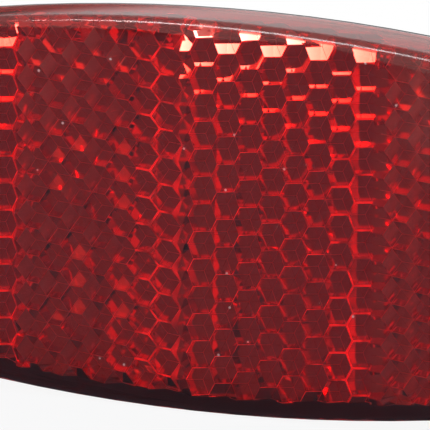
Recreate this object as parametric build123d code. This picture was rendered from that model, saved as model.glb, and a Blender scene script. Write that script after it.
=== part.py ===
from build123d import *
import math
import os

# Rear reflector for a luggage rack. The lens faces -Y, +X is to its right and +Z is up.
# The origin is on the mounting plane, midway between the two studs. Sizes are in millimetres.

# Outline of the lens, seen from the front
lens_width = 98.0
lens_height = 34.0
bow_radius = 170.0
end_radius = 28.0
corner_radius = 6.0

# Lens moulding: a front wall with a skirt round it
lens_depth = 7.0
front_wall = 1.5
skirt_wall = 1.2
front_round = 0.9

# Prisms on the back of the front wall: hexagonal pins, each ending in the corner of a cube.
# Wide and narrow zones take turns. In each, the pins stand in a bank that gets deeper to the right.
# One column of pins sets the place of a zone's pins.
pin_flats = 2.38
pin_reach = 6.0
prism_root = 0.75
prism_skirt_overlap = 0.3
centre_joint_x = -1.95
wide_zone = 17.7
wide_zone_tilt = 6.5
wide_zone_row_z = 11.68
wide_zone_columns_x = (-19.2, 0.07, 33.2)
narrow_zone = 15.45
narrow_zone_tilt = 3.5
narrow_zone_row_z = 11.765
narrow_zone_columns_x = (-36.5, -3.48, 20.27)

# Back housing: a flange behind the skirt, a spigot inside it and a boss round each stud
flange_thickness = 0.8
spigot_height = 1.2
spigot_gap = 0.15
boss_height = 3.6
boss_diameter = 13.0
boss_draft = 3.0
flange_edge = 0.3
rim_rib_inset = 1.6
rim_rib_width = 1.2
rim_rib_height = 1.4
spine_width = 1.4
spine_height = 2.2
cross_rib_width = 1.0
cross_rib_height = 1.4
cross_rib_count = 7
cross_rib_pitch = 10.0
gusset_reach = 3.4
gusset_width = 1.0
gusset_drop = 0.8

# M5 studs, held in the housing by their hexagonal heads
stud_spacing = 80.0
head_flats = 8.0
head_height = 3.5
head_gap = 0.1
head_floor = 1.5
neck_diameter = 5.6
neck_gap = 0.05
shank_diameter = 5.0
shank_length = 4.0
thread_mean_diameter = 4.48
stud_reach = 14.5
stud_chamfer = 0.7

# M5 washers and nuts, run up to the end of the thread
washer_diameter = 10.0
washer_bore = 5.3
washer_thickness = 1.0
nut_flats = 8.0
nut_height = 4.0
nut_gap = 0.05

# Corners turned off on the nuts
nut_face_diameter = 7.2
corner_cut_angle = 30.0
corner_cut_reach = 0.62

# Places worked out from those sizes
flange_back_y = -boss_height
rim_y = flange_back_y - flange_thickness
front_y = rim_y - lens_depth
spigot_y = rim_y - spigot_height
pin_side = pin_flats / math.sqrt(3)
column_pitch = 1.5 * pin_side
pin_tip = pin_side * math.sqrt(2)
tip_depth = front_wall + pin_tip
head_back_y = -head_floor
washer_y = shank_length
nut_y = washer_y + washer_thickness


def outline(inset=0.0):
    """The front view of the lens, or the same shape drawn in by inset."""
    bow = Circle(bow_radius - inset)
    rise = bow_radius - lens_height / 2
    ends = SlotCenterToCenter(lens_width - 2 * end_radius, 2 * (end_radius - inset))
    shape = (Pos(0, -rise) * bow) & (Pos(0, rise) * bow) & ends
    return fillet(shape.vertices(), corner_radius - inset)


def slab(shape, back_y, front_end_y):
    """A front-view shape made solid between two depths."""
    return Pos(0, back_y, 0) * extrude(Plane.XZ * shape, back_y - front_end_y)


def zones():
    """Each zone from edge to edge, with the place, tilt and facing of its pins."""
    pair = wide_zone + narrow_zone
    for step, column_x in enumerate(wide_zone_columns_x, start=-1):
        left = centre_joint_x + step * pair
        yield left, left + wide_zone, column_x, wide_zone_row_z, wide_zone_tilt, True
    for step, column_x in enumerate(narrow_zone_columns_x, start=-1):
        right = centre_joint_x + step * pair
        yield right - narrow_zone, right, column_x, narrow_zone_row_z, narrow_zone_tilt, False


def pin(facing_right):
    """One prism pin: a hexagonal post whose end, at the origin, is the corner of a cube."""
    post = Pos(0, 0, -pin_reach) * extrude(RegularPolygon(pin_side, 6), pin_reach)
    cube = Box(pin_reach, pin_reach, pin_reach, align=(Align.MAX, Align.MAX, Align.MAX))
    lean = math.degrees(math.acos(1 / math.sqrt(3)))
    corner = Rot(0, -lean, 0) * Rot(0, 0, -45) * cube
    turn = 180 if facing_right else 0
    return post & (Rot(0, 0, turn) * corner)


def zone_block(left, right, column_x, row_z, tilt, facing_right):
    """The prisms of one zone: a sloping bank of pins, cut straight at the zone's edges."""
    shrink = math.cos(math.radians(tilt))
    one_pin = pin(facing_right)
    pins = []
    first = math.floor((left - column_x) / column_pitch) - 1
    last = math.ceil((right - column_x) / column_pitch) + 1
    rows = math.ceil(lens_height / pin_flats)
    for column in range(first, last + 1):
        x = column_x + column * column_pitch * shrink
        if not left - pin_side < x < right + pin_side:
            continue
        shift = pin_flats / 2 if (column % 2 == 1) == facing_right else 0
        reach = lens_height / 2 - bow_radius + math.sqrt(bow_radius**2 - x**2)
        for row in range(-2, rows + 1):
            z = row_z + shift - row * pin_flats
            if abs(z) < reach - skirt_wall + pin_flats / 2:
                pins.append(Pos((x - left) / shrink, -z, 0) * one_pin)
    bank = pins[0].fuse(*pins[1:])
    bank = Pos(left, front_y + tip_depth, 0) * Rot(0, 0, tilt) * Rot(-90, 0, 0) * bank
    window = Pos((left + right) / 2, 0) * Rectangle(right - left, lens_height)
    field = outline(skirt_wall - prism_skirt_overlap) & window
    return bank & slab(field, rim_y, front_y + prism_root)


def lens():
    """Clear red lens: front wall and skirt in one moulding, with the prisms inside."""
    body = slab(outline(), rim_y, front_y)
    front_edges = body.faces().sort_by(Axis.Y)[0].edges()
    body = fillet(front_edges, front_round)
    body -= slab(outline(skirt_wall), rim_y, front_y + front_wall)
    for zone in zones():
        body += zone_block(*zone)
    return body


def boss_post(x):
    """The solid post round one stud, drafted so that it leaves its mould."""
    length = -rim_y
    tip_radius = boss_diameter / 2
    foot_radius = tip_radius + length * math.tan(math.radians(boss_draft))
    post = Cone(foot_radius, tip_radius, length, align=(Align.CENTER, Align.CENTER, Align.MIN))
    return Pos(x, rim_y, 0) * Rot(-90, 0, 0) * post


def gussets(x):
    """Four thin webs that brace a boss against the flange, cut off short of the rim."""
    foot = boss_diameter / 2 + gusset_reach
    top_y = -gusset_drop
    boss_radius = boss_diameter / 2
    points = (0, rim_y), (foot, rim_y), (foot, flange_back_y), (boss_radius, top_y), (0, top_y)
    web = extrude(make_face(Polyline(*points, close=True)), gusset_width / 2, both=True)
    field = slab(outline(rim_rib_inset), top_y, rim_y)
    return [(Pos(x, 0, 0) * Rot(0, quarter * 90, 0) * web) & field for quarter in range(4)]


def stud_seat(x):
    """What is cut from the housing for one stud: a hexagonal pocket and the hole for the neck."""
    hexagon = RegularPolygon(head_flats / 2 + head_gap, 6, major_radius=False)
    pocket = slab(Pos(x, 0) * hexagon, head_back_y, spigot_y - spigot_height)
    hole = slab(Pos(x, 0) * Circle(neck_diameter / 2 + neck_gap), head_floor, head_back_y)
    return pocket + hole


def back_housing():
    """Black back: flange and spigot plate, stiffening ribs and the two stud bosses."""
    flange = slab(outline(), flange_back_y, rim_y)
    flange = chamfer(flange.faces().sort_by(Axis.Y)[-1].edges(), flange_edge)
    body = flange + slab(outline(skirt_wall + spigot_gap), rim_y, spigot_y)
    field = outline(rim_rib_inset)
    rim = field - outline(rim_rib_inset + rim_rib_width)
    body += slab(rim, flange_back_y + rim_rib_height, rim_y)
    body += slab(field & Rectangle(stud_spacing, spine_width), flange_back_y + spine_height, rim_y)
    for x in places_along(cross_rib_pitch, cross_rib_count):
        bar = field & Pos(x, 0) * Rectangle(cross_rib_width, lens_height)
        body += slab(bar, flange_back_y + cross_rib_height, rim_y)
    for x in (-stud_spacing / 2, stud_spacing / 2):
        body = body.fuse(boss_post(x), *gussets(x))
        body -= stud_seat(x)
    return body


def places_along(pitch, count):
    """Evenly spaced places along X, centred on the origin."""
    for index in range(count):
        yield (index - (count - 1) / 2) * pitch


def hexagon_bar(flats, length):
    """A hexagonal bar along +Y from the origin."""
    return Rot(-90, 0, 0) * extrude(RegularPolygon(flats / 2, 6, major_radius=False), length)


def stud(x):
    """M5 bolt used as a stud: head in the housing, neck in the boss, plain shank, then thread."""
    head = Pos(x, head_back_y - head_height, 0) * hexagon_bar(head_flats, head_height)
    neck, shank, thread = neck_diameter / 2, shank_diameter / 2, thread_mean_diameter / 2
    points = (
        (0, head_back_y), (neck, head_back_y), (neck, 0), (shank, 0), (shank, shank_length),
        (thread, shank_length), (thread, stud_reach - stud_chamfer),
        (thread - stud_chamfer, stud_reach), (0, stud_reach),
    )
    return head + Pos(x, 0, 0) * revolve(make_face(Polyline(*points, close=True)), Axis.Y)


def washer(x):
    """Plain M5 washer, flat against the nut."""
    ring = Circle(washer_diameter / 2) - Circle(washer_bore / 2)
    return slab(Pos(x, 0) * ring, washer_y + washer_thickness, washer_y)


def nut(x):
    """M5 hexagonal nut on the stud's thread, its corners turned off on the outer face."""
    face, corner = nut_face_diameter / 2, nut_flats * corner_cut_reach
    drop = (corner - face) * math.tan(math.radians(corner_cut_angle))
    bore = thread_mean_diameter / 2 + nut_gap
    points = (bore, 0), (corner, 0), (corner, nut_height - drop), (face, nut_height), (bore, nut_height)
    turned = revolve(make_face(Polyline(*points, close=True)), Axis.Y)
    return Pos(x, nut_y, 0) * (turned & hexagon_bar(nut_flats, nut_height))


pieces = {"lens": lens(), "back_housing": back_housing()}
for side, x in (("left", -stud_spacing / 2), ("right", stud_spacing / 2)):
    pieces[side + "_stud"] = stud(x)
    pieces[side + "_washer"] = washer(x)
    pieces[side + "_nut"] = nut(x)

os.makedirs("parts", exist_ok=True)
for name, piece in pieces.items():
    export_step(piece, f"parts/{name}.step")
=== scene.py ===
import bpy
import bmesh
import math
from mathutils import Matrix, Vector


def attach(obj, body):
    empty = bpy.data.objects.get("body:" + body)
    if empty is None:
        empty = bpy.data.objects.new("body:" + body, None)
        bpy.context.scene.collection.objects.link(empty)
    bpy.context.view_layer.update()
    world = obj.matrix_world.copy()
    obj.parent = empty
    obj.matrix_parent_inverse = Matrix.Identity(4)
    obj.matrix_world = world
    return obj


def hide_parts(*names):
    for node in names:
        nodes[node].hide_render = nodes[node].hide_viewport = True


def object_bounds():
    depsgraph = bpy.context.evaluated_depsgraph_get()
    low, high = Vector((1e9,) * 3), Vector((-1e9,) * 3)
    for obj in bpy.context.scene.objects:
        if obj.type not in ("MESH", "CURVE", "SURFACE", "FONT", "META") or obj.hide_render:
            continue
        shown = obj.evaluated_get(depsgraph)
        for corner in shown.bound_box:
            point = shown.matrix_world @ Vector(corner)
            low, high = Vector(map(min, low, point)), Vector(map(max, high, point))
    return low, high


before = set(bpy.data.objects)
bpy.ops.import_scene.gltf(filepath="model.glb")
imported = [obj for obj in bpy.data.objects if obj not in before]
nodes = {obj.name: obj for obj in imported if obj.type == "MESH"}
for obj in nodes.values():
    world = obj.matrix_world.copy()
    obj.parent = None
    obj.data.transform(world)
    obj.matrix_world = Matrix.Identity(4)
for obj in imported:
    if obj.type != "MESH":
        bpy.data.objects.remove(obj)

# A rear reflector for a luggage rack: a clear red prism lens on a black back with two M5 studs.
# It was modelled from a photo, seen at close range from the front, the right and a little above.
cad_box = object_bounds()

# Camera.
# It stands 482 mm from the middle of the lens, 24 degrees to its right and 11 degrees above it.
# The frame is a close crop, so the ends of the reflector lie outside it.
lens_middle = Vector((0, -0.0114, 0))
azimuth, elevation, roll = math.radians(23.74), math.radians(11.15), math.radians(0.59)
camera_distance = 0.482
sensor_width = 36
frame_side = 430
pixels_per_metre = 11760
middle_x, middle_y = 193.03, 217.96
toward_camera = Vector((
    math.sin(azimuth) * math.cos(elevation),
    -math.cos(azimuth) * math.cos(elevation),
    math.sin(elevation),
))
camera_right = Vector((math.cos(azimuth), math.sin(azimuth), 0))
camera_up = toward_camera.cross(camera_right)
camera = bpy.data.objects.new("camera", bpy.data.cameras.new("camera"))
bpy.context.scene.collection.objects.link(camera)
bpy.context.scene.camera = camera
turned = Matrix((camera_right, camera_up, toward_camera)).transposed().to_4x4()
camera.matrix_world = (
    Matrix.Translation(lens_middle + toward_camera * camera_distance)
    @ turned
    @ Matrix.Rotation(roll, 4, "Z")
)
camera.data.sensor_width = sensor_width
camera.data.lens = pixels_per_metre * camera_distance / frame_side * sensor_width
camera.data.shift_x = (frame_side / 2 - middle_x) / frame_side
camera.data.shift_y = (middle_y - frame_side / 2) / frame_side
camera.data.clip_start = 0.01
camera.data.clip_end = 20
bpy.context.scene.view_settings.view_transform = "Standard"
light_bounces = 24
for bounces in ("max_bounces", "glossy_bounces", "transmission_bounces"):
    setattr(bpy.context.scene.cycles, bounces, light_bounces)

# Room.
# A studio with pale walls and two lamps overhead. The foot of the back wall is dark, and so is
# the side behind the camera. The prisms send that side back, so it sets the tone of their cells.
room = bpy.data.worlds.new("room")
bpy.context.scene.world = room
room.use_nodes = True
tree = room.node_tree
tree.nodes.clear()
ray = tree.nodes.new("ShaderNodeTexCoord").outputs["Generated"]


def math_node(tree, operation, *values):
    """What a math node makes of sockets or plain numbers."""
    node = tree.nodes.new("ShaderNodeMath")
    node.operation = operation
    for socket, value in zip(node.inputs, values):
        if isinstance(value, (int, float)):
            socket.default_value = value
        else:
            tree.links.new(value, socket)
    return node.outputs["Value"]


def ramp(tree, value, start, end, low=0.0, high=1.0):
    """A node whose result is low where the value is at the start, and high where it is at the end."""
    node = tree.nodes.new("ShaderNodeMapRange")
    for name, number in (("From Min", start), ("From Max", end), ("To Min", low), ("To Max", high)):
        node.inputs[name].default_value = number
    tree.links.new(value, node.inputs["Value"])
    return node


def reach_along(tree, vector, direction):
    """How far a vector reaches along a direction."""
    node = tree.nodes.new("ShaderNodeVectorMath")
    node.operation = "DOT_PRODUCT"
    node.inputs[1].default_value = direction
    tree.links.new(vector, node.inputs[0])
    return node.outputs["Value"]


def room_side(direction, start, end, low, high):
    """Brightness of the room by how near a ray's direction is to the given one."""
    side = ramp(tree, reach_along(tree, ray, direction), start, end, low, high)
    side.interpolation_type = "SMOOTHERSTEP"
    return side.outputs["Result"]


front_to_back = room_side((0, 1, 0), start=-0.2, end=0.4, low=1.10, high=0.75)
camera_side = room_side(tuple(toward_camera), start=0.78, end=0.95, low=1.0, high=0.13)
above_foot = room_side((0, 0, 1), start=0.09, end=0.20, low=0.10, high=1.0)
off_back_wall = room_side((0, 1, 0), start=0.30, end=0.60, low=1.0, high=0.0)
wall_foot = math_node(tree, "MAXIMUM", above_foot, off_back_wall)
level = math_node(tree, "MULTIPLY", front_to_back, camera_side)
level = math_node(tree, "MULTIPLY", level, wall_foot)
camera_ray = tree.nodes.new("ShaderNodeLightPath").outputs["Is Camera Ray"]
seen = tree.nodes.new("ShaderNodeMix")
seen.data_type = "FLOAT"
seen.inputs["B"].default_value = 1.0
tree.links.new(camera_ray, seen.inputs["Factor"])
tree.links.new(level, seen.inputs["A"])
sky = tree.nodes.new("ShaderNodeBackground")
sky.inputs["Color"].default_value = (1, 1, 1, 1)
tree.links.new(seen.outputs["Result"], sky.inputs["Strength"])
world_output = tree.nodes.new("ShaderNodeOutputWorld")
tree.links.new(sky.outputs["Background"], world_output.inputs["Surface"])


def softbox(name, at, width, height, brightness):
    """A flat lamp that faces the middle of the lens. Its face has the given brightness."""
    lamp = bpy.data.lights.new(name, "AREA")
    lamp.shape = "RECTANGLE"
    lamp.size = width
    lamp.size_y = height
    lamp.energy = brightness * math.pi * width * height
    holder = bpy.data.objects.new(name, lamp)
    bpy.context.scene.collection.objects.link(holder)
    facing = (Vector(at) - lens_middle).to_track_quat("Z", "Y").to_matrix().to_4x4()
    holder.matrix_world = Matrix.Translation(at) @ facing
    holder.visible_camera = False


softbox("overhead_right", (0.345, 0.150, 0.430), width=0.17, height=0.17, brightness=12)
softbox("overhead_left", (-0.210, -0.374, 0.457), width=0.22, height=0.13, brightness=15)

# Floor.
# A plain pale sheet on which the lower edge of the reflector rests. It has a darker strip in
# front of the lens, whose flat front mirrors it. The camera sees the sheet itself nearly white.
floor_z = cad_box[0][2]
floor_radius = 4
floor = bpy.data.objects.new("floor", bpy.data.meshes.new("floor"))
bpy.context.scene.collection.objects.link(floor)
sheet = bmesh.new()
bmesh.ops.create_circle(sheet, cap_ends=True, segments=96, radius=floor_radius)
bmesh.ops.translate(sheet, verts=sheet.verts, vec=(0, 0, floor_z))
sheet.to_mesh(floor.data)
sheet.free()


def own_place(tree):
    """A point's place on its own piece."""
    return tree.nodes.new("ShaderNodeTexCoord").outputs["Object"]


def blend(tree, factor, first, second):
    """A colour between two others, each a socket or three plain numbers."""
    node = tree.nodes.new("ShaderNodeMix")
    node.data_type = "RGBA"
    tree.links.new(factor, node.inputs["Factor"])
    first_input, second_input, colour_output = 6, 7, 2
    for index, colour in ((first_input, first), (second_input, second)):
        if isinstance(colour, tuple):
            node.inputs[index].default_value = (*colour, 1)
        else:
            tree.links.new(colour, node.inputs[index])
    return node.outputs[colour_output]


mirrored_right = (camera_right.x, -camera_right.y, 0)
strip_edge, strip_fade_end = 0.032, 0.045
strip_tone, sheet_tone = (0.25, 0.255, 0.33), (0.82, 0.82, 0.82)
seen_white = 0.92
pale_sheet = bpy.data.materials.new("pale_sheet")
pale_sheet.use_nodes = True
tree = pale_sheet.node_tree
paper = tree.nodes["Principled BSDF"]
paper.inputs["Roughness"].default_value = 0.9
paper.inputs["Specular IOR Level"].default_value = 0.1
aside = math_node(tree, "ABSOLUTE", reach_along(tree, own_place(tree), mirrored_right))
off_strip = ramp(tree, aside, strip_edge, strip_fade_end).outputs["Result"]
tree.links.new(blend(tree, off_strip, strip_tone, sheet_tone), paper.inputs["Base Color"])
camera_ray = tree.nodes.new("ShaderNodeLightPath").outputs["Is Camera Ray"]
white = tree.nodes.new("ShaderNodeEmission")
sheet_mix = tree.nodes.new("ShaderNodeMixShader")
tree.links.new(math_node(tree, "MULTIPLY", camera_ray, seen_white), sheet_mix.inputs["Fac"])
tree.links.new(paper.outputs["BSDF"], sheet_mix.inputs[1])
tree.links.new(white.outputs["Emission"], sheet_mix.inputs[2])
tree.links.new(sheet_mix.outputs["Shader"], tree.nodes["Material Output"].inputs["Surface"])
floor.data.materials.append(pale_sheet)

# Lens.
# One moulding in clear red acrylic: a polished front wall with a skirt round it.
# The back of the wall carries the prisms, and the skirt is welded to the black back.
lens = bpy.data.objects.new("red_lens", bpy.data.meshes.new("red_lens"))
bpy.context.scene.collection.objects.link(lens)
shell = bmesh.new()
shell.from_mesh(nodes["lens"].data)
same_spot = 2e-7
nearly_flat = math.radians(0.5)
bmesh.ops.remove_doubles(shell, verts=shell.verts, dist=same_spot)
bmesh.ops.recalc_face_normals(shell, faces=shell.faces)
bmesh.ops.dissolve_limit(
    shell, angle_limit=nearly_flat, verts=shell.verts, edges=shell.edges, delimit={"NORMAL"}
)

# The mould leaves the prism edges a little broken: wide and frosted near the right edge of each
# zone, fine and frosted along two sides of each prism in the wide zones, and dull elsewhere.
# The frosted slot also carries a painted glow, set in its finish below.
clear, frosted_painted_glow, joint, dull = range(4)
prism_start_y, prism_end_y = -0.0099, -0.0058
start_slack = 5e-5
sharp_fold = math.radians(50)
centre_joint_x = -0.00195
wide_zone, narrow_zone = 0.0177, 0.01545
widths_to_step = 3
last_columns = 0.0042
lying_slope, rising_slope = 0.2, 0.8
long_side = 0.0008


def place_in_zone(x):
    """How far x lies from the right edge of its zone, and whether the zone is a wide one."""
    run = (x - centre_joint_x) % (wide_zone + narrow_zone)
    if run < wide_zone:
        return wide_zone - run, True
    return wide_zone + narrow_zone - run, False


def middle_in_zone(edge):
    """The same for the middle of an edge."""
    return place_in_zone((edge.verts[0].co.x + edge.verts[1].co.x) / 2)


def from_step(x):
    """How far x lies from the nearer edge of its zone."""
    to_edge, wide = place_in_zone(x)
    return min(to_edge, abs(to_edge - (wide_zone if wide else narrow_zone)))


def is_prism_edge(edge):
    """True for the edges of the prisms, seen by their place and their sharp fold."""
    if len(edge.link_faces) != 2:
        return False
    depths = [corner.co.y for corner in edge.verts]
    if min(depths) < prism_start_y - start_slack or max(depths) > prism_end_y:
        return False
    return edge.calc_face_angle(0) > sharp_fold


def untouched(edge):
    """True where neither face beside an edge was made by breaking another."""
    return all(face.material_index == clear for face in edge.link_faces)


def has_room(edge, width, shortest):
    """True where no short edge or zone step is so near that broken edges would overlap."""
    for corner in edge.verts:
        if from_step(corner.co.x) < widths_to_step * width:
            return False
        if any(other.calc_length() < shortest for other in corner.link_edges):
            return False
    return True


def break_edges(edges, width, shortest, slot):
    """Takes the sharpness off these edges, where there is room for it."""
    roomy = [edge for edge in edges if edge.is_valid and has_room(edge, width, shortest)]
    bmesh.ops.bevel(
        shell, geom=roomy, offset=width, segments=1, affect="EDGES", clamp_overlap=False, material=slot
    )


valleys = [edge for edge in shell.edges if is_prism_edge(edge) and not edge.is_convex]
near_right = [edge for edge in valleys if middle_in_zone(edge)[0] < last_columns]
break_edges(near_right, width=0.00012, shortest=0.0003, slot=frosted_painted_glow)
in_wide, in_narrow = [], []
for edge in shell.edges:
    if not is_prism_edge(edge) or edge.is_convex or not untouched(edge):
        continue
    run = edge.verts[1].co - edge.verts[0].co
    lying = abs(run.z) < abs(run.x) * lying_slope
    rising = run.x * run.z > 0 and abs(run.z) > abs(run.x) * rising_slope
    if (lying or rising) and run.length > long_side:
        (in_wide if middle_in_zone(edge)[1] else in_narrow).append(edge)
break_edges(in_narrow, width=0.00004, shortest=0.00006, slot=dull)
break_edges(in_wide, width=0.00004, shortest=0.00006, slot=frosted_painted_glow)
rest = [edge for edge in shell.edges if is_prism_edge(edge) and untouched(edge)]
break_edges(rest, width=0.000017, shortest=0.00002, slot=dull)

# The steps between zones are frosted too. The end of the skirt stops just short of the flange.
facing_x, facing_y = 0.995, 0.99
beside_step = 2e-4
skirt_end_y = -0.0044
face_slack, corner_slack = 1e-4, 1e-5
joint_gap = 3e-5
for face in shell.faces:
    middle = face.calc_center_median()
    on_step = abs(face.normal.x) > facing_x and from_step(middle.x) < beside_step
    if on_step and prism_start_y < middle.y < prism_end_y:
        face.material_index = frosted_painted_glow
    if face.normal.y > facing_y and middle.y > skirt_end_y - face_slack:
        face.material_index = joint
for corner in shell.verts:
    if corner.co.y > skirt_end_y - corner_slack:
        corner.co.y = skirt_end_y - joint_gap
shell.to_mesh(lens.data)
shell.free()
lens.data.attributes.remove(lens.data.attributes["custom_normal"])
lens.data.shade_smooth()
lens.data.set_sharp_from_angle(angle=math.radians(25))


def lens_finish(name, roughness):
    """Adds a finish to the lens in its next slot, and returns its tree and shader."""
    finish = bpy.data.materials.new(name)
    finish.use_nodes = True
    shader = finish.node_tree.nodes["Principled BSDF"]
    shader.inputs["Roughness"].default_value = roughness
    lens.data.materials.append(finish)
    return finish.node_tree, shader


def coordinates(tree, vector):
    """The X, Y and Z of a vector, to be picked by name."""
    parts = tree.nodes.new("ShaderNodeSeparateXYZ")
    tree.links.new(vector, parts.inputs["Vector"])
    return parts.outputs


# Clear: polished acrylic, dyed right through. The front has hair-thin scratches and specks of
# dust, and its rounded rim is rubbed, more so toward the right.
tree, acrylic = lens_finish("red_plastic", 0.0)
acrylic.inputs["Base Color"].default_value = (1, 1, 1, 1)
acrylic.inputs["Transmission Weight"].default_value = 1
acrylic.inputs["IOR"].default_value = 1.49
output = tree.nodes["Material Output"]
dye = tree.nodes.new("ShaderNodeVolumeAbsorption")
dye.inputs["Color"].default_value = (0.960, 0.12, 0.0, 1)
dye.inputs["Density"].default_value = 560
tree.links.new(dye.outputs["Volume"], output.inputs["Volume"])
place = own_place(tree)
along = coordinates(tree, place)

front_end_y = -0.0109
rim_start_y, rim_end_y = -0.01138, -0.0104
rubbed_from_x, rubbed_to_x = -0.012, 0.002
least_rubbed, most_rubbed = 0.08, 0.18
scratch_length, scratch_width = 0.004, 0.00013
scratch_roughness = 0.22
few, fewer = 0.695, 0.70
specks_per_metre = 420
speck_reach = 0.05
dust_cover = 0.5


def scratches(angle, rarity):
    """Scratches that all lean by about the same angle. The higher the rarity, the fewer they are."""
    leaning = tree.nodes.new("ShaderNodeMapping")
    leaning.vector_type = "TEXTURE"
    leaning.inputs["Rotation"].default_value = (0, angle, 0)
    leaning.inputs["Scale"].default_value = (scratch_length, 1, scratch_width)
    noise = tree.nodes.new("ShaderNodeTexNoise")
    noise.inputs["Scale"].default_value = 1
    noise.inputs["Detail"].default_value = 1
    noise.inputs["Distortion"].default_value = 0.3
    tree.links.new(place, leaning.inputs["Vector"])
    tree.links.new(leaning.outputs["Vector"], noise.inputs["Vector"])
    return math_node(tree, "GREATER_THAN", noise.outputs["Fac"], rarity)


front = math_node(tree, "LESS_THAN", along["Y"], front_end_y)
marks = scratches(0.35, few)
for angle in (-0.5, 1.2, 2.2):
    marks = math_node(tree, "MAXIMUM", marks, scratches(angle, fewer))
marks = math_node(tree, "MULTIPLY", marks, front)
behind_face = math_node(tree, "GREATER_THAN", along["Y"], rim_start_y)
before_skirt = math_node(tree, "LESS_THAN", along["Y"], rim_end_y)
rim = math_node(tree, "MULTIPLY", behind_face, before_skirt)
rubbed = ramp(tree, along["X"], rubbed_from_x, rubbed_to_x, least_rubbed, most_rubbed)
rim_wear = math_node(tree, "MULTIPLY", rim, rubbed.outputs["Result"])
scratch_wear = math_node(tree, "MULTIPLY", marks, scratch_roughness)
tree.links.new(math_node(tree, "MAXIMUM", scratch_wear, rim_wear), acrylic.inputs["Roughness"])
specks = tree.nodes.new("ShaderNodeTexVoronoi")
specks.inputs["Scale"].default_value = specks_per_metre
tree.links.new(place, specks.inputs["Vector"])
speck = math_node(tree, "LESS_THAN", specks.outputs["Distance"], speck_reach)
speck = math_node(tree, "MULTIPLY", speck, front)
dust = tree.nodes.new("ShaderNodeBsdfDiffuse")
dust.inputs["Color"].default_value = (0.75, 0.62, 0.6, 1)
dusty = tree.nodes.new("ShaderNodeMixShader")
tree.links.new(math_node(tree, "MULTIPLY", speck, dust_cover), dusty.inputs["Fac"])
tree.links.new(acrylic.outputs["BSDF"], dusty.inputs[1])
tree.links.new(dust.outputs["BSDF"], dusty.inputs[2])
tree.links.new(dusty.outputs["Shader"], output.inputs["Surface"])

# Frosted: uneven in strength, with a weak painted glow that stands in for the light that real edges
# scatter along them.
tree, frost_and_painted_glow = lens_finish("frosted_red_painted_glow", 0.6)
frost_and_painted_glow.inputs["Emission Strength"].default_value = 1
uneven = tree.nodes.new("ShaderNodeTexNoise")
uneven.inputs["Scale"].default_value = 620
uneven.inputs["Detail"].default_value = 2
tree.links.new(own_place(tree), uneven.inputs["Vector"])
strong = ramp(tree, uneven.outputs["Fac"], 0.38, 0.62).outputs["Result"]
frost_tone = blend(tree, strong, (0.45, 0.08, 0.09), (0.95, 0.24, 0.24))
# Painted glow: the edges give off light though they are no lamp.
painted_glow = blend(tree, strong, (0.03, 0.001, 0.001), (0.55, 0.010, 0.014))
tree.links.new(frost_tone, frost_and_painted_glow.inputs["Base Color"])
tree.links.new(painted_glow, frost_and_painted_glow.inputs["Emission Color"])

# Joint: the end of the skirt, painted dark along the bottom as shade and painted pale along the top as
# light.
fade_z = 0.004
tree, joint_shader = lens_finish("joint_painted_light_and_shade", 0.6)
along = coordinates(tree, own_place(tree))
painted_light_top = ramp(tree, along["Z"], -fade_z, fade_z).outputs["Result"]
painted_light_and_shade = blend(tree, painted_light_top, (0.07, 0.014, 0.018), (0.98, 0.8, 0.8))
tree.links.new(painted_light_and_shade, joint_shader.inputs["Base Color"])

# Dull: the fainter edges.
tree, dull_edge = lens_finish("dull_red", 0.6)
dull_edge.inputs["Base Color"].default_value = (0.55, 0.14, 0.14, 1)
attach(lens, "root")
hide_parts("lens")

# Back housing.
# A black ABS moulding that closes the lens from behind, with ribs and two bosses for the studs.
# Its spigot fits inside the lens's skirt. The outside has a fine spark-eroded texture.
fine_grain = bpy.data.node_groups.new("fine_grain", "ShaderNodeTree")
for name, kind, start in (
    ("Grain Size", "NodeSocketFloat", 0.0003),
    ("Patch Size", "NodeSocketFloat", 0.006),
    ("Dark", "NodeSocketColor", (0.1, 0.1, 0.1, 1)),
    ("Light", "NodeSocketColor", (0.2, 0.2, 0.2, 1)),
    ("Smooth", "NodeSocketFloat", 0.3),
    ("Rough", "NodeSocketFloat", 0.6),
):
    socket = fine_grain.interface.new_socket(name=name, in_out="INPUT", socket_type=kind)
    socket.default_value = start
for name, kind in (
    ("Color", "NodeSocketColor"),
    ("Roughness", "NodeSocketFloat"),
    ("Height", "NodeSocketFloat"),
):
    fine_grain.interface.new_socket(name=name, in_out="OUTPUT", socket_type=kind)
grain_in = fine_grain.nodes.new("NodeGroupInput")
grain_out = fine_grain.nodes.new("NodeGroupOutput")
place = own_place(fine_grain)


def spots(size_name, detail):
    """A noise of the size that one of the group's inputs gives."""
    noise = fine_grain.nodes.new("ShaderNodeTexNoise")
    noise.inputs["Detail"].default_value = detail
    per_metre = math_node(fine_grain, "DIVIDE", 1, grain_in.outputs[size_name])
    fine_grain.links.new(place, noise.inputs["Vector"])
    fine_grain.links.new(per_metre, noise.inputs["Scale"])
    return noise.outputs["Fac"]


grain = spots("Grain Size", detail=2)
patches = spots("Patch Size", detail=4)
tone = blend(fine_grain, patches, grain_in.outputs["Dark"], grain_in.outputs["Light"])
sheen = ramp(fine_grain, patches, 0.3, 0.7)
fine_grain.links.new(grain_in.outputs["Smooth"], sheen.inputs["To Min"])
fine_grain.links.new(grain_in.outputs["Rough"], sheen.inputs["To Max"])
fine_grain.links.new(tone, grain_out.inputs["Color"])
fine_grain.links.new(sheen.outputs["Result"], grain_out.inputs["Roughness"])
fine_grain.links.new(grain, grain_out.inputs["Height"])


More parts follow.
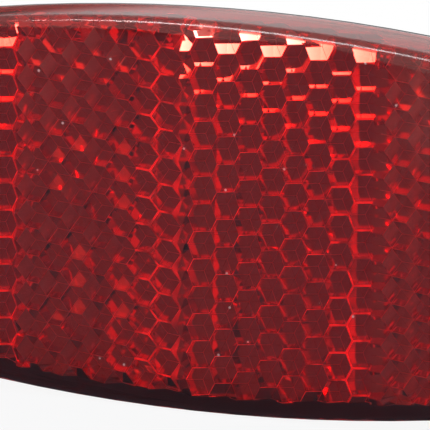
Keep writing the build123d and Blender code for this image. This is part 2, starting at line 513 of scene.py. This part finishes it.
def grained(name, relief, values):
    """A material with the fine grain on its colour, sheen and surface, and its shader."""
    material = bpy.data.materials.new(name)
    material.use_nodes = True
    inner = material.node_tree
    shader = inner.nodes["Principled BSDF"]
    group = inner.nodes.new("ShaderNodeGroup")
    group.node_tree = fine_grain
    for input_name, value in values.items():
        group.inputs[input_name].default_value = value
    bump = inner.nodes.new("ShaderNodeBump")
    bump.inputs["Distance"].default_value = relief
    inner.links.new(group.outputs["Color"], shader.inputs["Base Color"])
    inner.links.new(group.outputs["Roughness"], shader.inputs["Roughness"])
    inner.links.new(group.outputs["Height"], bump.inputs["Height"])
    inner.links.new(bump.outputs["Normal"], shader.inputs["Normal"])
    return material, shader


black_plastic, outside = grained("black_plastic", relief=0.00003, values={
    "Grain Size": 0.0003,
    "Patch Size": 0.008,
    "Dark": (0.016, 0.016, 0.018, 1),
    "Light": (0.030, 0.030, 0.032, 1),
    "Smooth": 0.42,
    "Rough": 0.62,
})

# The side that faces the prisms, seen through the clear skirt, is painted paler: painted light for the
# cavity behind the prisms.
inner_side_y = -0.0043
painted_light_inside = (0.35, 0.35, 0.36)
tree = black_plastic.node_tree
along = coordinates(tree, own_place(tree))
painted_light_side = math_node(tree, "LESS_THAN", along["Y"], inner_side_y)
outer_tone = outside.inputs["Base Color"].links[0].from_socket
tree.links.new(blend(tree, painted_light_side, outer_tone, painted_light_inside), outside.inputs["Base Color"])
nodes["back_housing"].data.materials.clear()
nodes["back_housing"].data.materials.append(black_plastic)

# Studs.
# Two M5 bolts in bright zinc-plated steel, their heads held in the housing's pockets.
# The thread is rolled, with a pitch of 0.8 mm, and runs out at the plain shank.
stud_x, stud_end_y = 0.040, 0.0145
thread_length = 0.0105
head_front_y, head_back_y, shank_end_y = -0.005, -0.0015, 0.0041
head_radius = 0.008 / math.sqrt(3)
neck_radius, shank_radius = 0.0028, 0.0025
zinc_plate, zinc = grained("zinc_plate", relief=0.000004, values={
    "Grain Size": 0.0002,
    "Patch Size": 0.004,
    "Dark": (0.52, 0.53, 0.55, 1),
    "Light": (0.68, 0.69, 0.70, 1),
    "Smooth": 0.22,
    "Rough": 0.38,
})
zinc.inputs["Metallic"].default_value = 1

rolled_thread = bpy.data.node_groups.new("rolled_thread", "GeometryNodeTree")
for name, kind, start in (
    ("Length", "NodeSocketFloat", thread_length),
    ("Pitch", "NodeSocketFloat", 0.0008),
    ("Crest Radius", "NodeSocketFloat", 0.00246),
    ("Root Radius", "NodeSocketFloat", 0.00206),
    ("Run Out", "NodeSocketFloat", 0.0007),
    ("Lead", "NodeSocketFloat", 0.0005),
    ("Material", "NodeSocketMaterial", None),
):
    socket = rolled_thread.interface.new_socket(name=name, in_out="INPUT", socket_type=kind)
    if start is not None:
        socket.default_value = start
rolled_thread.interface.new_socket(name="Mesh", in_out="OUTPUT", socket_type="NodeSocketGeometry")
given = rolled_thread.nodes.new("NodeGroupInput").outputs


def worked_out(operation, *values):
    """What a math node of the thread's tree makes of these values."""
    return math_node(rolled_thread, operation, *values)


sides_round, rings_along = 36, 132
crest_end, root_start = 0.07, 0.43
bar = rolled_thread.nodes.new("GeometryNodeMeshCylinder")
bar.fill_type = "TRIANGLE_FAN"
bar.inputs["Vertices"].default_value = sides_round
bar.inputs["Side Segments"].default_value = rings_along
rolled_thread.links.new(given["Crest Radius"], bar.inputs["Radius"])
rolled_thread.links.new(given["Length"], bar.inputs["Depth"])
where = rolled_thread.nodes.new("GeometryNodeInputPosition")
along = coordinates(rolled_thread, where.outputs["Position"])
turn = worked_out("DIVIDE", worked_out("ARCTAN2", along["Y"], along["X"]), 2 * math.pi)
travel = worked_out("DIVIDE", along["Z"], given["Pitch"])
phase = worked_out("PINGPONG", worked_out("SUBTRACT", travel, turn), 0.5)
flank = ramp(rolled_thread, phase, crest_end, root_start).outputs["Result"]
half = worked_out("MULTIPLY", given["Length"], 0.5)
to_end = worked_out("SUBTRACT", half, worked_out("ABSOLUTE", along["Z"]))
fade = worked_out("MINIMUM", worked_out("DIVIDE", to_end, given["Run Out"]), 1.0)
depth = worked_out("SUBTRACT", given["Crest Radius"], given["Root Radius"])
cut = worked_out("MULTIPLY", worked_out("MULTIPLY", flank, fade), depth)
to_tip = worked_out("SUBTRACT", half, along["Z"])
lead = worked_out("MAXIMUM", worked_out("SUBTRACT", given["Lead"], to_tip), 0.0)
radius = worked_out("SUBTRACT", worked_out("SUBTRACT", given["Crest Radius"], cut), lead)
ratio = worked_out("DIVIDE", radius, given["Crest Radius"])
moved = rolled_thread.nodes.new("ShaderNodeCombineXYZ")
rolled_thread.links.new(worked_out("MULTIPLY", along["X"], ratio), moved.inputs["X"])
rolled_thread.links.new(worked_out("MULTIPLY", along["Y"], ratio), moved.inputs["Y"])
rolled_thread.links.new(along["Z"], moved.inputs["Z"])
rolled = rolled_thread.nodes.new("GeometryNodeSetPosition")
rolled_thread.links.new(bar.outputs["Mesh"], rolled.inputs["Geometry"])
rolled_thread.links.new(moved.outputs["Vector"], rolled.inputs["Position"])
solid = rolled_thread.nodes.new("GeometryNodeRealizeInstances")
rolled_thread.links.new(rolled.outputs["Geometry"], solid.inputs["Geometry"])
plated = rolled_thread.nodes.new("GeometryNodeSetMaterial")
rolled_thread.links.new(solid.outputs["Geometry"], plated.inputs["Geometry"])
rolled_thread.links.new(given["Material"], plated.inputs["Material"])
thread_out = rolled_thread.nodes.new("NodeGroupOutput")
rolled_thread.links.new(plated.outputs["Geometry"], thread_out.inputs["Mesh"])

maker = bpy.data.objects.new("thread_maker", bpy.data.meshes.new("thread_maker"))
bpy.context.scene.collection.objects.link(maker)
modifier = maker.modifiers.new("thread", "NODES")
modifier.node_group = rolled_thread
identifiers = {item.name: item.identifier for item in rolled_thread.interface.items_tree}
modifier[identifiers["Length"]] = thread_length
modifier[identifiers["Material"]] = zinc_plate
bpy.context.view_layer.update()
evaluated = maker.evaluated_get(bpy.context.evaluated_depsgraph_get())
thread_mesh = bpy.data.meshes.new_from_object(evaluated)
maker.modifiers.remove(modifier)
bpy.data.objects.remove(maker)


def laid_along_y(x, y):
    """Lays something made along Z down along Y, with its middle at this place."""
    return Matrix.Translation((x, y, 0)) @ Matrix.Rotation(-math.pi / 2, 4, "X")


def add_bar(mesh, x, start, end, reach, sides=48, turn=0.0):
    """Adds a round or hexagonal bar along Y to a mesh."""
    made = bmesh.ops.create_cone(
        mesh, cap_ends=True, segments=sides, radius1=reach, radius2=reach, depth=end - start
    )
    laid = laid_along_y(x, (start + end) / 2) @ Matrix.Rotation(turn, 4, "Z")
    bmesh.ops.transform(mesh, matrix=laid, verts=made["verts"])


for side, x in (("left", -stud_x), ("right", stud_x)):
    stud = bpy.data.objects.new(side + "_bolt", bpy.data.meshes.new(side + "_bolt"))
    bpy.context.scene.collection.objects.link(stud)
    blank = bmesh.new()
    blank.from_mesh(thread_mesh)
    laid = laid_along_y(x, stud_end_y - thread_length / 2)
    bmesh.ops.transform(blank, matrix=laid, verts=blank.verts)
    add_bar(blank, x, head_back_y, 0.0, neck_radius)
    add_bar(blank, x, 0.0, shank_end_y, shank_radius)
    add_bar(blank, x, head_front_y, head_back_y, head_radius, sides=6, turn=math.pi / 6)
    blank.to_mesh(stud.data)
    blank.free()
    stud.data.materials.clear()
    stud.data.materials.append(zinc_plate)
    stud.data.shade_smooth()
    stud.data.set_sharp_from_angle(angle=math.radians(40))
    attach(stud, "root")
    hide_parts(side + "_stud")

# Washers and nuts.
# Plain stamped M5 washers and hexagonal nuts, zinc plated like the studs.
# They hold the reflector to the rack, run up to the end of each thread.
for name in ("left_washer", "right_washer", "left_nut", "right_nut"):
    nodes[name].data.materials.clear()
    nodes[name].data.materials.append(zinc_plate)
